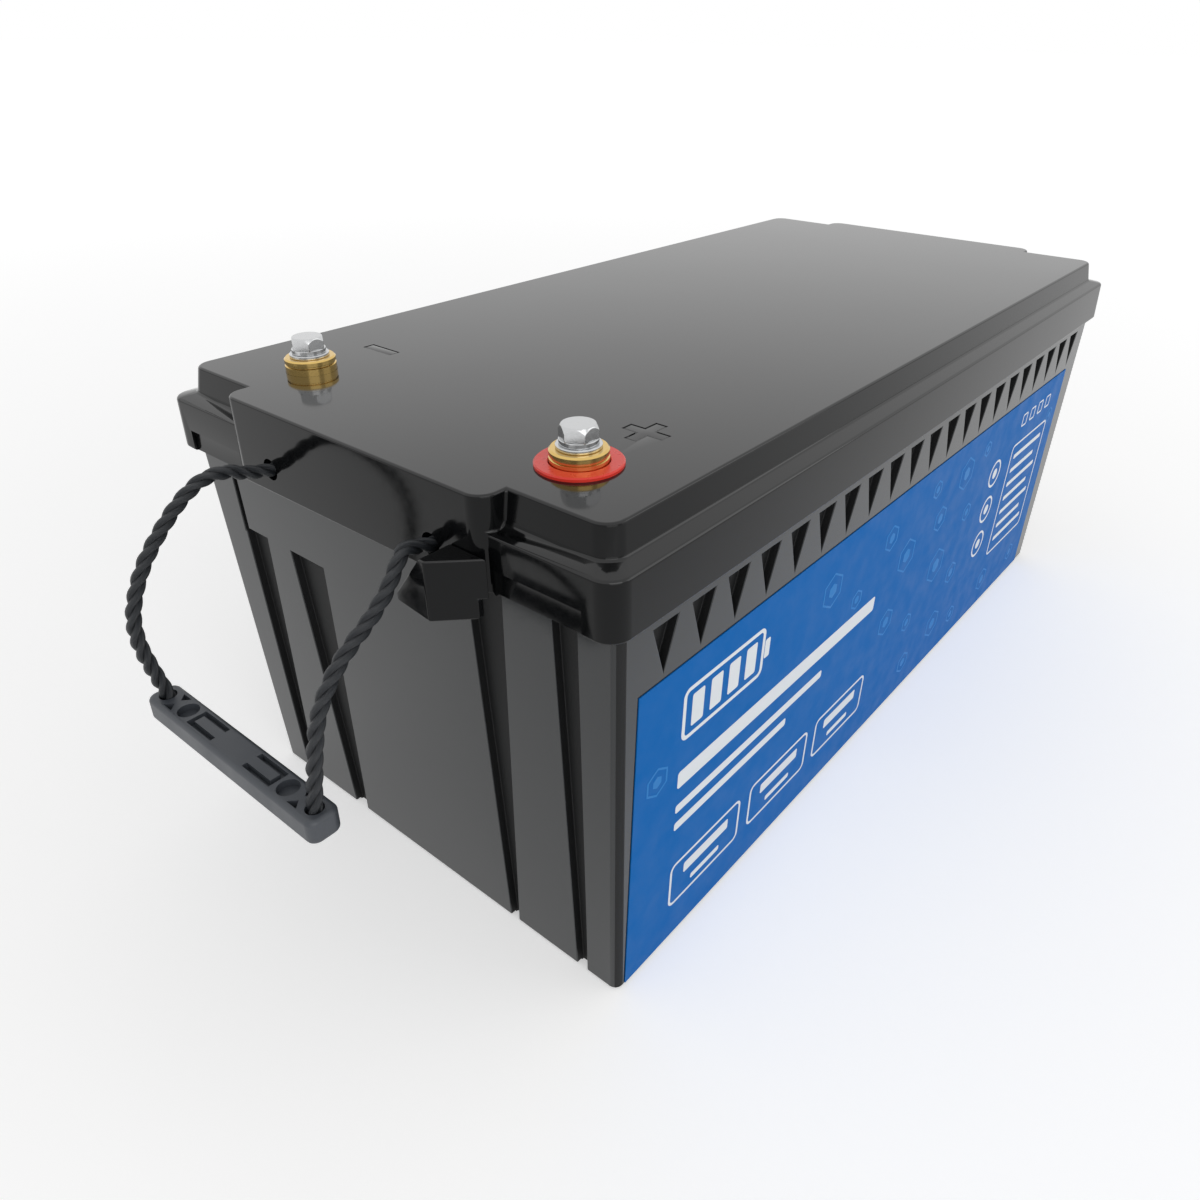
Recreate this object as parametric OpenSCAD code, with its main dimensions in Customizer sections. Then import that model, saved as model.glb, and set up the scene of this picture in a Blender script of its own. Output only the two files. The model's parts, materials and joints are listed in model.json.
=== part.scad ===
// Deep cycle battery with two swinging rope handles.
// Length runs along X, width along Y, +Z is up, and the origin is under the middle of the case.
// The front end, with the terminals, is at -X.

/* [Case and lid] */
// Length over the lid skirt
body_l = 522; // [518:1:530]
// Width over the lid skirt
body_w = 268; // [266:1:276]
// Height to the top of the lid
body_h = 228; // [227:1:236]
// Taper of each end wall from its top to its foot
end_draft = 7; // [5:0.5:9]
// Taper of each long wall from its top to its foot
side_draft = 9; // [7:0.5:10]
// Thickness of the end walls of the case
end_wall = 9; // [8:0.5:10]
// Thickness of the long walls of the case
side_wall = 7; // [6.5:0.5:8]
// Thickness of the case floor
floor_t = 5; // [4:0.5:5]
// Triangular pockets along each long wall
pocket_count = 21; // [5:2:21]

/* [Terminals] */
// Diameter of each brass terminal bush
bush_d = 22; // [20:1:24]
// Height of the bush above the lid
bush_rise = 6.5; // [5:0.5:8]
// Thread diameter of the terminal bolts
bolt_d = 8; // [8:8]
// Size across the flats of the bolt heads
bolt_flats = 13; // [12:0.5:14]
// Distance of the terminals from the front end of the lid
terminal_inset = 40; // [38:1:44]
// Distance of the positive terminal from the near side of the lid
positive_inset = 50; // [48:1:54]
// Distance of the negative terminal from the far side of the lid
negative_inset = 56; // [52:1:60]

/* [Rope handles] */
// Diameter of the rope
rope_d = 6; // [5.5:0.5:6.5]
// Depth of the rope holes below the lid top
rope_drop = 26.5; // [26:0.5:27]
// Length of the moulded grip
grip_l = 114; // [110:1:114]
// Distance of each rope hole from its end of the grip
grip_hole_inset = 6.5; // [6.5:0.5:8]
// Width of the moulded grip
grip_w = 13; // [12.5:0.5:16]
// Height of the moulded grip
grip_h = 10.5; // [10:0.5:13]

/* [Cells] */
// Length of one cell
cell_l = 174; // [172:0.5:174]
// Thickness of the insulating sheet between two cells
cell_gap = 0.7; // [0.5:0.1:1.5]
// Thickness of the heating film under the cells
heater_t = 1; // [0.5:0.1:1.5]

/* [Hidden] */
$fn = 48;

eps = 0.01;

// Case: drafted tub with a straight lip that stands inside the lid skirt
case_l = body_l - 14;
case_w = body_w - 8;
skirt_h = 38;
lip_h = 16;
case_top = body_h - skirt_h;
lip_top = case_top + lip_h;
case_r = 4;
cavity_r = 6;
foot_inset = 3;
foot_h = 1.2;
end_angle = atan(end_draft / case_top);
side_angle = atan(side_draft / case_top);
rope_slot_w = 9.5;
lip_l = case_l - 0.4;
lip_w = case_w - 0.4;
mouth_l = case_l - 2 * end_wall + 0.6;
mouth_w = case_w - 2 * side_wall + 0.6;

// Pockets in the long walls
pocket_pitch = 22.8;
pocket_w = 14.5;
pocket_top = case_top - 6.5;
pocket_apex = pocket_top - 22;
recess_depth = 4;

// End grooves: each corner is [part of half the case width towards the near side, part of the wall height]
groove_outlines = [
    [[-0.808, 0.8], [-0.669, 0.8], [-0.738, 0], [-0.785, 0]],
    [[-0.815, 0.789], [-0.788, 0.789], [-0.788, 0.989], [-0.815, 0.989]],
    [[-0.523, 0.8], [-0.331, 0.8], [-0.385, 0], [-0.454, 0]],
    [[0.423, 1], [0.577, 1], [0.477, 0], [0.442, 0]],
    [[0.762, 1], [0.858, 1], [0.8, 0], [0.758, 0]]
];

// Lid
skirt_r = 9;
skirt_gap = 0.5;
plateau_h = 12;
ledge_z = body_h - plateau_h;
plateau_inset = 9;
plateau_draft = 1.8;
plateau_r = 8;
tab_half = body_w / 2 - 55;
tab_out = 3;
lid_t = 4;
lid_wall = 7;
seal_t = 2;
seal_w = 7;
panel_depth = 1.5;
panel_z = case_top + 10;
panel_half = body_w / 2 - 13;
mark_l = 20;
mark_w = 6;
mark_depth = 0.8;
mark_dx = 38;

// Label on the near long wall
label_t = 0.4;
label_start = -242;
label_end = 230;
label_low = 2;
label_high = case_top - 32;

// Terminals
terminal_x = -body_l / 2 + terminal_inset;
positive_y = positive_inset - body_w / 2;
negative_y = body_w / 2 - negative_inset;
bush_top = body_h + bush_rise;
bush_low = lip_top;
bush_flange_d = 30;
bush_flange_t = 4;
bush_gap = 0.1;
bore_gap = 0.05;
bore_low = bush_low + 3;
ring_d = 33;
ring_t = 1.5;
washer_d = 17;
washer_t = 1.6;
spring_d = 14.6;
spring_t = 2;
head_h = 5.3;
shank_l = 25;
washer_top = bush_top + washer_t;
spring_top = washer_top + spring_t;

// Rope handles: routes are [outwards, upwards] from the hinge point, hand-picked round numbers
hole_d = 9.5;
rope_y = grip_l / 2 - grip_hole_inset;
rope_z = body_h - rope_drop;
tab_x = body_l / 2 + tab_out;
hinge_x = tab_x + 11;
hinge_z = rope_z + 2.5;
anchor_x = mouth_l / 2;
stub_gap = rope_d / 2 + 0.2;
stub_drop = 1;
anchor_washer_t = 2;
anchor_washer_d = 12.6;
knot_d = 2 * rope_d;
knot_x = anchor_x - anchor_washer_t;
front_near_route = [
    [0, 0], [5, -5.5], [10, -12.5], [17.5, -19.5], [26, -25.5], [33, -31.5],
    [39, -39], [43, -46.5], [46, -57], [48.5, -70], [50.5, -81.5]
];
front_far_route = [
    [0, 0], [6, 2.5], [12.5, 3.5], [19, 2.5], [27, -2], [35.5, -9.5], [44, -19],
    [49.5, -27.5], [53.5, -36.5], [55.5, -45], [55.5, -55], [53.5, -67], [50.5, -81.5]
];
rear_route = [
    [0, 0], [6, 0.5], [11.5, -3], [14.5, -10], [15, -20], [15, -40], [15, -60], [15, -78], [15, -96.5]
];
front_grip_out = 50.5;
front_grip_top = hinge_z - 81.5;
rear_grip_out = 15;
rear_grip_top = hinge_z - 97.5;
grip_r = 4;
grip_bevel = 3.5;
grip_hole_d = rope_d + 1;
grip_sink_d = grip_w - 2.4;
grip_sink_h = 5.5;
grip_pocket_d = grip_w - 4.4;
grip_pocket_depth = 5;
grip_rib = 1.2;
// Places along the grip: middle of the round pocket, and both ends of the groove round the island
round_pocket_y = 34.5;
groove_y_low = 11;
groove_y_high = 28.5;
groove_w = 2.2;
island_w = 4;

// Port guard moulded beside one rope hole
guard_out = 15;
guard_y_low = -tab_half - 1;
guard_y_peak = guard_y_low + 18;
guard_y_high = guard_y_low + 35;
guard_low = case_top - 8;
guard_tip = 4;
guard_notch = 3;

// Cell pack: two rows of four cells, eight in series
base_t = 3;
cell_z = floor_t + base_t;
cell_h = lip_top - cell_z;
side_pad_t = 5;
side_pad_gap = 1;
pack_room = case_w - 2 * (side_draft + side_wall + side_pad_t + side_pad_gap);
cell_t = (pack_room - 3 * cell_gap) / 4;
row_gap = 1;
cell_pitch = cell_t + cell_gap;
row_pitch = cell_l + row_gap;
pack_end = 222;
stud_dx = 61;
stud_d = 6;
stud_h = 10;
pad_d = 16;
pad_h = 2;
cell_top = cell_z + cell_h;
bar_w = 18;
bar_t = 2;
bar_hole_d = stud_d + 0.4;
nut_flats = 10;
nut_h = 5;
end_pad_t = 15.5;
end_pad_h = case_top - 18;
bulkhead_t = 3;
cover_t = 1.5;
pack_w = 4 * cell_t + 3 * cell_gap;
link_y = 1.5 * cell_pitch;
pack_start = pack_end - 2 * cell_l - row_gap;

// Battery management board on the bulkhead
bms_l = 150;
bms_h = 100;
bms_z = 70;
bms_x = pack_start - bulkhead_t;
plate_t = 4;
standoff_d = 7;
standoff_h = 6;
board_t = 2;
lug_t = 3;
lug_d = 20;
module_l = 30;
module_h = 20;
module_t = 3;
cable_d = 10;
link_start = bms_x - 32;
cable_end_x = bms_x - 20;
cable_end_z = cell_top + pad_h - lug_t;
post_l = 14;
post_h = 6;
post_y = 65;
post_z = case_top - 40;
post_x = bms_x - plate_t - standoff_h - board_t - post_l / 2;
bush_end_z = bush_low - lug_t;
// Each cable leaves its lugs square to them for a short way
bush_lead = 16;
link_lead = 14;
post_lead = 11;
// Cable routes between these leads: [behind the terminals, across, below the bush ends]
positive_route = [[12, -86, -36], [38, -87, -41], [63, -84, -31]];
negative_route = [[61, -40, -21], [37, 6, -19], [11, 56, -23]];
bms_route = [[71, 77, -24], [72, 69, -32]];

// Shapes used by several parts

module rounded_plate(l, w, h, r) {
    linear_extrude(h)
        rounded_outline(l, w, r);
}

// Square with round corners made of squares and circles, so that its walls stay true surfaces
module rounded_outline(l, w, r) {
    square([l - 2 * r, w], center = true);
    square([l, w - 2 * r], center = true);
    for (sx = [-1, 1], sy = [-1, 1])
        translate([sx * (l / 2 - r), sy * (w / 2 - r)])
            circle(r);
}

// Drafted block, wider at its top
module drafted_block(l_low, w_low, l_high, w_high, z_low, z_high, r) {
    hull() {
        translate([0, 0, z_low])
            linear_extrude(eps)
                rounded_outline(l_low, w_low, r, $fn = 32);
        translate([0, 0, z_high - eps])
            linear_extrude(eps)
                rounded_outline(l_high, w_high, r, $fn = 32);
    }
}

// Places its children on the near long wall: X along the case, Y up the wall, Z outwards
module on_side_wall() {
    translate([0, -case_w / 2 + side_draft, 0])
        rotate([90 + side_angle, 0, 0])
            children();
}

// Places its children on the front end wall: X towards the near side, Y up the wall, Z outwards
module on_end_wall() {
    translate([-case_l / 2 + end_draft, 0, 0])
        rotate([0, 0, -90])
            rotate([90 + end_angle, 0, 0])
                children();
}

module both_ends() {
    for (turn = [0, 180])
        rotate([0, 0, turn])
            children();
}

// Swept tube: functions place a ring at each point of the route
function unit(v) = v / norm(v);
function heading(route, i) = unit(route[min(i + 1, len(route) - 1)] - route[max(i - 1, 0)]);
function ring_at(p, t, r, sides, across) =
    let (a = unit(cross(t, across)), b = cross(t, a))
    [for (k = [0 : sides - 1]) p + r * (cos(360 * k / sides) * a + sin(360 * k / sides) * b)];

// round_start gives the first end a domed tip, which stays inside a ball about the first point
module tube(route, d, sides, across, round_start = false) {
    dome = round_start ? [20, 55] : [];
    n = len(route) + len(dome);
    start = heading(route, 0);
    points = [
        for (a = dome) each ring_at(route[0] - start * cos(a) * d / 2, start, sin(a) * d / 2, sides, across),
        for (i = [0 : len(route) - 1]) each ring_at(route[i], heading(route, i), d / 2, sides, across)
    ];
    start_cap = [for (k = [0 : sides - 1]) k];
    end_cap = [for (k = [sides - 1 : -1 : 0]) (n - 1) * sides + k];
    walls = [for (i = [0 : n - 2], k = [0 : sides - 1])
        [i * sides + k, (i + 1) * sides + k, (i + 1) * sides + (k + 1) % sides, i * sides + (k + 1) % sides]];
    polyhedron(points, concat([start_cap], walls, [end_cap]), convexity = 6);
}

// Rope leg of one end: side is -1 at the front and 1 at the rear
module rope_leg(route, side, y, knot_z) {
    path = [for (p = route) [side * (hinge_x + p[0]), y, hinge_z + p[1]]];
    foot = [path[len(path) - 1][0], y, knot_z];
    tube(concat(path, [foot]), rope_d, 12, [0, 1, 0], round_start = true);
}

// Case

module end_grooves() {
    on_end_wall()
        for (outline = groove_outlines)
            translate([0, -1, -recess_depth])
                linear_extrude(recess_depth + 2)
                    polygon([for (p = outline) [p[0] * case_w / 2, p[1] * (case_top + 1)]]);
}

module side_pockets() {
    on_side_wall()
        for (i = [0 : pocket_count - 1])
            translate([(i - (pocket_count - 1) / 2) * pocket_pitch, 0, -recess_depth])
                linear_extrude(recess_depth + 2)
                    polygon([[-pocket_w / 2, pocket_top], [0, pocket_apex], [pocket_w / 2, pocket_top]]);
}

module rope_slots() {
    for (side = [-1, 1], sy = [-1, 1])
        translate([side * (case_l / 2 - end_wall / 2), sy * rope_y, rope_z]) {
            rotate([0, 90, 0])
                cylinder(d = rope_slot_w, h = end_wall + 4, center = true);
            translate([0, 0, 5])
                cube([end_wall + 4, rope_slot_w, 10], center = true);
        }
}

module case() {
    color("#161719")
    difference() {
        union() {
            rounded_plate(case_l - 2 * (end_draft + foot_inset), case_w - 2 * (side_draft + foot_inset),
                foot_h + 1, case_r);
            drafted_block(case_l - 2 * end_draft, case_w - 2 * side_draft, case_l, case_w,
                foot_h, case_top, case_r);
            translate([0, 0, case_top - 2])
                rounded_plate(lip_l, lip_w, lip_top - case_top + 2, case_r);
        }
        drafted_block(case_l - 2 * (end_draft + end_wall), case_w - 2 * (side_draft + side_wall),
            case_l - 2 * end_wall, case_w - 2 * side_wall, floor_t, case_top, cavity_r);
        translate([0, 0, case_top - 2])
            rounded_plate(mouth_l, mouth_w, lip_top - case_top + 3, cavity_r);
        both_ends()
            end_grooves();
        both_ends()
            side_pockets();
        rope_slots();
    }
}

module label() {
    color("#0060b8")
    on_side_wall()
        translate([label_start, label_low, 0])
            cube([label_end - label_start, label_high - label_low, label_t]);
}

// Lid

module polarity_bar(turn) {
    rotate([0, 0, turn])
        translate([0, 0, -mark_depth])
            linear_extrude(mark_depth + 1)
                square([mark_l, mark_w], center = true);
}

module lid() {
    color("#1b1c1e")
    difference() {
        union() {
            translate([0, 0, case_top])
                rounded_plate(body_l, body_w, ledge_z - case_top, skirt_r);
            drafted_block(body_l - 2 * plateau_inset + 2 * plateau_draft,
                body_w - 2 * plateau_inset + 2 * plateau_draft,
                body_l - 2 * plateau_inset, body_w - 2 * plateau_inset, ledge_z - 0.5, body_h, plateau_r);
            translate([0, 0, case_top])
                rounded_plate(2 * tab_x, 2 * tab_half, body_h - case_top, plateau_r);
        }
        // Pocket over the case lip and its seal
        translate([0, 0, case_top - 1])
            rounded_plate(case_l + 2 * skirt_gap, case_w + 2 * skirt_gap,
                lip_top + seal_t - case_top + 1, case_r + skirt_gap);
        // Space over the cells
        translate([0, 0, case_top])
            rounded_plate(case_l - 2 * end_wall, body_w - 2 * (plateau_inset + lid_wall),
                body_h - lid_t - case_top, cavity_r);
        for (y = [positive_y, negative_y])
            translate([terminal_x, y, body_h - lid_t - 1])
                cylinder(d = bush_d + 2 * bush_gap, h = lid_t + 2);
        for (sy = [-1, 1])
            translate([0, sy * rope_y, rope_z])
                rotate([0, 90, 0])
                    cylinder(d = hole_d, h = 2 * tab_x + 2, center = true);
        // Undercut below the raised panels on the four end corners
        for (side = [-1, 1], sy = [-1, 1])
            translate([side * body_l / 2, sy * (tab_half + panel_half) / 2, panel_z - 10])
                cube([2 * panel_depth, panel_half - tab_half - 2, 20], center = true);
        translate([terminal_x + mark_dx, positive_y, body_h]) {
            polarity_bar(0);
            polarity_bar(90);
        }
        translate([terminal_x + mark_dx, negative_y, body_h])
            polarity_bar(90);
    }
}

module lid_seal() {
    color("#303030")
    translate([0, 0, lip_top])
        difference() {
            rounded_plate(case_l, case_w, seal_t, case_r);
            translate([0, 0, -1])
                rounded_plate(case_l - 2 * seal_w, case_w - 2 * seal_w, seal_t + 2, cavity_r);
        }
}

// Wedge beside the near rope hole: its top slopes down under the rope
module corner_guard() {
    color("#1b1c1e")
    difference() {
        intersection() {
            translate([-tab_x, 0, guard_low])
                linear_extrude(lip_top - guard_low)
                    polygon([[0, guard_y_low], [0, guard_y_high], [-guard_out + 2, guard_y_high],
                        [-guard_out, guard_y_low + guard_out]]);
            translate([-tab_x - guard_out - 1, 0, 0])
                rotate([90, 0, 90])
                    linear_extrude(guard_out + 2)
                        polygon([[guard_y_low, guard_low], [guard_y_high, guard_low],
                            [guard_y_high, guard_low + guard_tip], [guard_y_peak, lip_top], [guard_y_low, lip_top]]);
        }
        translate([-tab_x - guard_out, guard_y_low - 1, guard_low - 1])
            cube([2 * guard_out, guard_notch + 1, case_top - guard_low + 1]);
    }
}

// Terminals

module terminal_bush(y) {
    color("#c99b3a")
    translate([terminal_x, y, 0])
        difference() {
            union() {
                translate([0, 0, bush_low])
                    cylinder(d = bush_d, h = bush_top - bush_low);
                translate([0, 0, body_h - lid_t - bush_flange_t])
                    cylinder(d = bush_flange_d, h = bush_flange_t);
            }
            translate([0, 0, bore_low])
                cylinder(d = bolt_d + 2 * bore_gap, h = bush_top);
        }
}

module terminal_washer(y) {
    color("#d5d6d8")
    translate([terminal_x, y, bush_top])
        difference() {
            cylinder(d = washer_d, h = washer_t);
            translate([0, 0, -1])
                cylinder(d = bolt_d + 0.4, h = washer_t + 2);
        }
}

module terminal_spring_washer(y) {
    color("#c8c9cc")
    translate([terminal_x, y, washer_top])
        difference() {
            cylinder(d = spring_d, h = spring_t);
            translate([0, 0, -1])
                cylinder(d = bolt_d + 0.4, h = spring_t + 2);
            translate([0, 3, spring_t / 2])
                rotate([30, 0, 0])
                    cube([1.2, 14, spring_t * 6], center = true);
        }
}

module terminal_bolt(y) {
    color("#d9dadc")
    translate([terminal_x, y, spring_top]) {
        intersection() {
            cylinder(d = bolt_flats / cos(30), h = head_h, $fn = 6);
            cylinder(d1 = bolt_flats + 6, d2 = bolt_flats - 0.5, h = head_h);
        }
        translate([0, 0, -shank_l])
            cylinder(d = bolt_d, h = shank_l + 1);
    }
}

module positive_ring() {
    color("#d2231e")
    translate([terminal_x, positive_y, body_h])
        difference() {
            cylinder(d = ring_d, h = ring_t);
            translate([0, 0, -1])
                cylinder(d = bush_d + 4 * bush_gap, h = ring_t + 2);
        }
}

module positive_bush() { terminal_bush(positive_y); }
module negative_bush() { terminal_bush(negative_y); }
module positive_washer() { terminal_washer(positive_y); }
module negative_washer() { terminal_washer(negative_y); }
module positive_spring_washer() { terminal_spring_washer(positive_y); }
module negative_spring_washer() { terminal_spring_washer(negative_y); }
module positive_bolt() { terminal_bolt(positive_y); }
module negative_bolt() { terminal_bolt(negative_y); }

// Rope anchors, fixed in the case

module rope_stubs(side) {
    color("#17181a")
    for (sy = [-1, 1])
        tube([for (p = [[knot_x, rope_z], [tab_x, rope_z], [hinge_x - stub_gap, hinge_z - stub_drop]])
            [side * p[0], sy * rope_y, p[1]]], rope_d, 12, [0, 1, 0]);
}

module anchor_washers(side) {
    color("#b9bbbe")
    for (sy = [-1, 1])
        translate([side * anchor_x, sy * rope_y, rope_z])
            rotate([0, -side * 90, 0])
                difference() {
                    cylinder(d = anchor_washer_d, h = anchor_washer_t);
                    translate([0, 0, -1])
                        cylinder(d = grip_hole_d, h = anchor_washer_t + 2);
                }
}

module anchor_knots(side) {
    color("#17181a")
    for (sy = [-1, 1])
        translate([side * knot_x, sy * rope_y, rope_z])
            rotate([0, -side * 90, 0])
                difference() {
                    translate([0, 0, knot_d / 3])
                        sphere(d = knot_d);
                    translate([0, 0, -knot_d / 2])
                        cube([knot_d, knot_d, knot_d], center = true);
                }
}

module front_rope_stubs() { rope_stubs(-1); }
module rear_rope_stubs() { rope_stubs(1); }
module front_anchor_washers() { anchor_washers(-1); }
module rear_anchor_washers() { anchor_washers(1); }
module front_anchor_knots() { anchor_knots(-1); }
module rear_anchor_knots() { anchor_knots(1); }

// Swinging handles

module grip(x, top) {
    color("#1d1e20")
    translate([x, 0, top - grip_h])
        difference() {
            intersection() {
                rounded_plate(grip_w, grip_l, grip_h, grip_r);
                grip_profile();
            }
            for (sy = [-1, 1])
                mirror([0, sy < 0 ? 1 : 0, 0]) {
                    translate([0, rope_y, -1])
                        cylinder(d = grip_hole_d, h = grip_h + 2);
                    translate([0, rope_y, -1])
                        cylinder(d = grip_sink_d, h = grip_sink_h + 1);
                    translate([0, 0, grip_h - grip_pocket_depth])
                        linear_extrude(grip_pocket_depth + 1)
                            grip_pockets();
                }
        }
}

// Side view of the grip with its bevelled ends
module grip_profile() {
    half = grip_l / 2;
    foot = grip_bevel - 1;
    translate([-grip_w, 0, 0])
        rotate([90, 0, 90])
            linear_extrude(2 * grip_w)
                polygon([[-half, foot], [foot - half, 0], [half - foot, 0], [half, foot],
                    [half, grip_h - grip_bevel], [half - grip_bevel, grip_h],
                    [grip_bevel - half, grip_h], [-half, grip_h - grip_bevel]]);
}

// Pockets of one half: round pocket, a groove round three sides of an island, and two triangles
// that leave crossed ribs beside the rope hole
module grip_pockets() {
    half_w = grip_pocket_d / 2;
    rib_end = round_pocket_y + half_w;
    cross_y = (rib_end + rope_y - grip_hole_d / 2) / 2;
    translate([0, round_pocket_y])
        circle(d = grip_pocket_d);
    for (sx = [-1, 1])
        polygon([[sx * half_w, cross_y - 3.2], [sx * half_w, cross_y + 3.2], [sx * grip_rib, cross_y]]);
    difference() {
        translate([-island_w / 2 - groove_w, groove_y_low])
            square([island_w + 2 * groove_w, groove_y_high - groove_y_low]);
        translate([-island_w / 2, groove_y_low - 1])
            square([island_w, groove_y_high - groove_y_low + 1 - groove_w]);
    }
}

module grip_knots(x, top) {
    color("#17181a")
    for (sy = [-1, 1])
        translate([x, sy * rope_y, top - grip_h])
            intersection() {
                translate([0, 0, grip_sink_h / 2])
                    sphere(d = grip_sink_d - 0.6);
                translate([0, 0, grip_sink_h - knot_d / 2])
                    cube([knot_d + 1, knot_d + 1, knot_d], center = true);
            }
}

front_knot_z = front_grip_top - grip_h + grip_sink_h;
rear_knot_z = rear_grip_top - grip_h + grip_sink_h;

module front_rope_near() { color("#17181a") rope_leg(front_near_route, -1, -rope_y, front_knot_z); }
module front_rope_far() { color("#17181a") rope_leg(front_far_route, -1, rope_y, front_knot_z); }
module rear_rope_near() { color("#17181a") rope_leg(rear_route, 1, -rope_y, rear_knot_z); }
module rear_rope_far() { color("#17181a") rope_leg(rear_route, 1, rope_y, rear_knot_z); }
module front_grip() { grip(-hinge_x - front_grip_out, front_grip_top); }
module rear_grip() { grip(hinge_x + rear_grip_out, rear_grip_top); }
module front_grip_knots() { grip_knots(-hinge_x - front_grip_out, front_grip_top); }
module rear_grip_knots() { grip_knots(hinge_x + rear_grip_out, rear_grip_top); }

// Cells, numbered from the near front corner: four across the case in each of two rows

function cell_x(row) = pack_start + cell_l / 2 + row * row_pitch;
function cell_y(place) = (place - 1.5) * cell_pitch;

module cell(number) {
    row = floor((number - 1) / 4);
    place = (number - 1) % 4;
    color("#4d7fb5")
    translate([cell_x(row), cell_y(place), cell_z]) {
        rounded_plate(cell_l, cell_t, cell_h, 3);
        for (sx = [-1, 1])
            translate([sx * stud_dx, 0, cell_h - 1]) {
                cylinder(d = pad_d, h = pad_h + 1);
                cylinder(d = stud_d, h = stud_h + 1);
            }
    }
}

module cell_1() { cell(1); }
module cell_2() { cell(2); }
module cell_3() { cell(3); }
module cell_4() { cell(4); }
module cell_5() { cell(5); }
module cell_6() { cell(6); }
module cell_7() { cell(7); }
module cell_8() { cell(8); }

module cell_separators() {
    color("#e8e4d4") {
        for (row = [0, 1], gap = [0 : 2])
            translate([cell_x(row) - cell_l / 2, cell_y(gap) + cell_t / 2, cell_z])
                cube([cell_l, cell_gap, cell_h]);
        translate([cell_x(0) + cell_l / 2, -pack_w / 2, cell_z])
            cube([row_gap, pack_w, cell_h]);
    }
}

module base_pad() {
    color("#3a3d40")
    translate([pack_start, -pack_w / 2, floor_t])
        cube([pack_end - pack_start, pack_w, base_t - heater_t]);
}

module heater_film() {
    color("#b5792c")
    translate([pack_start, -pack_w / 2, cell_z - heater_t])
        cube([pack_end - pack_start, pack_w, heater_t]);
}

module side_pads() {
    color("#3a3d40")
    for (sy = [-1, 1])
        translate([(pack_start + pack_end) / 2, sy * (pack_w + side_pad_t) / 2, cell_z + cell_h / 2])
            cube([pack_end - pack_start, side_pad_t, cell_h], center = true);
}

module end_pad() {
    color("#3a3d40")
    translate([pack_end, -pack_w / 2, cell_z])
        cube([end_pad_t, pack_w, end_pad_h]);
}

module bulkhead() {
    color("#c9b884")
    translate([bms_x, -pack_w / 2, floor_t])
        cube([bulkhead_t, pack_w, cell_top - floor_t]);
}

module cell_cover() {
    color("#e9e6da")
    translate([pack_start, -pack_w / 2, cell_top + stud_h])
        cube([pack_end - pack_start, pack_w, cover_t]);
}

// Link plate of length l between two studs, along X
module stud_link(l) {
    difference() {
        translate([-(l + bar_w) / 2, -bar_w / 2, 0])
            cube([l + bar_w, bar_w, bar_t]);
        for (sx = [-1, 1])
            translate([sx * l / 2, 0, -1])
                cylinder(d = bar_hole_d, h = bar_t + 2);
    }
}

// The series path goes to and fro between the rows, one place further across each time
module series_busbars() {
    color("#c5793a")
    translate([0, 0, cell_top + pad_h]) {
        for (place = [0 : 3])
            translate([(cell_x(0) + cell_x(1)) / 2, cell_y(place), 0])
                stud_link(row_pitch - 2 * stud_dx);
        for (step = [[1, 1, 0], [0, -1, 1], [1, 1, 2]])
            translate([cell_x(step[0]) + step[1] * stud_dx, (cell_y(step[2]) + cell_y(step[2] + 1)) / 2, 0])
                rotate([0, 0, 90])
                    stud_link(cell_pitch);
    }
}

// Bar from the first or last stud of the series out past the bulkhead
module link_bar(side) {
    color("#c5793a")
    translate([0, side * link_y, cell_top + pad_h])
        difference() {
            translate([link_start, -bar_w / 2, 0])
                cube([cell_x(0) - stud_dx + bar_w / 2 - link_start, bar_w, bar_t]);
            translate([cell_x(0) - stud_dx, 0, -1])
                cylinder(d = bar_hole_d, h = bar_t + 2);
        }
}

module positive_link_bar() { link_bar(-1); }
module negative_link_bar() { link_bar(1); }

module cell_nuts() {
    color("#cfd0d2")
    for (row = [0, 1], place = [0 : 3], sx = [-1, 1])
        translate([cell_x(row) + sx * stud_dx, cell_y(place), cell_top + pad_h + bar_t])
            difference() {
                cylinder(d = nut_flats / cos(30), h = nut_h, $fn = 6);
                translate([0, 0, -1])
                    cylinder(d = stud_d + 0.2, h = nut_h + 2);
            }
}

// Battery management system, on the front of the bulkhead

module bms_heat_plate() {
    color("#a9abae")
    translate([bms_x - plate_t, -bms_l / 2, bms_z])
        cube([plate_t, bms_l, bms_h]);
}

module bms_standoffs() {
    color("#c9a24a")
    for (sy = [-1, 1], z = [8, bms_h - 8])
        translate([bms_x - plate_t, sy * (bms_l / 2 - 8), bms_z + z])
            rotate([0, -90, 0])
                cylinder(d = standoff_d, h = standoff_h);
}

module bms_board() {
    color("#1c6b3a")
    translate([bms_x - plate_t - standoff_h - board_t, -bms_l / 2, bms_z])
        cube([board_t, bms_l, bms_h]);
}

module bluetooth_module() {
    color("#27508c")
    translate([bms_x - plate_t - standoff_h - board_t - module_t, -module_l / 2, bms_z + module_h])
        cube([module_t, module_l, module_h]);
}

// Main cables, between the terminals, the link bars and the board

function from_terminals(route) = [for (p = route) [terminal_x + p[0], p[1], bush_end_z + p[2]]];
function bush_lead_in(y) = [[terminal_x, y, bush_end_z], [terminal_x, y, bush_end_z - bush_lead]];
function link_lead_in(y) = [[cable_end_x, y, cable_end_z], [cable_end_x, y, cable_end_z - link_lead]];
function post_lead_in(y) = [[post_x, y, post_z + post_h], [post_x, y, post_z + post_h + post_lead]];
function backwards(route) = [for (i = [len(route) - 1 : -1 : 0]) route[i]];

module positive_cable() {
    color("#b3241f")
    tube(concat(bush_lead_in(positive_y), from_terminals(positive_route),
        backwards(link_lead_in(-link_y))), cable_d, 12, [0, 1, 0]);
}

module negative_cable() {
    color("#17181a")
    tube(concat(post_lead_in(-post_y), from_terminals(negative_route),
        backwards(bush_lead_in(negative_y))), cable_d, 12, [1, 0, 0]);
}

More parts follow.
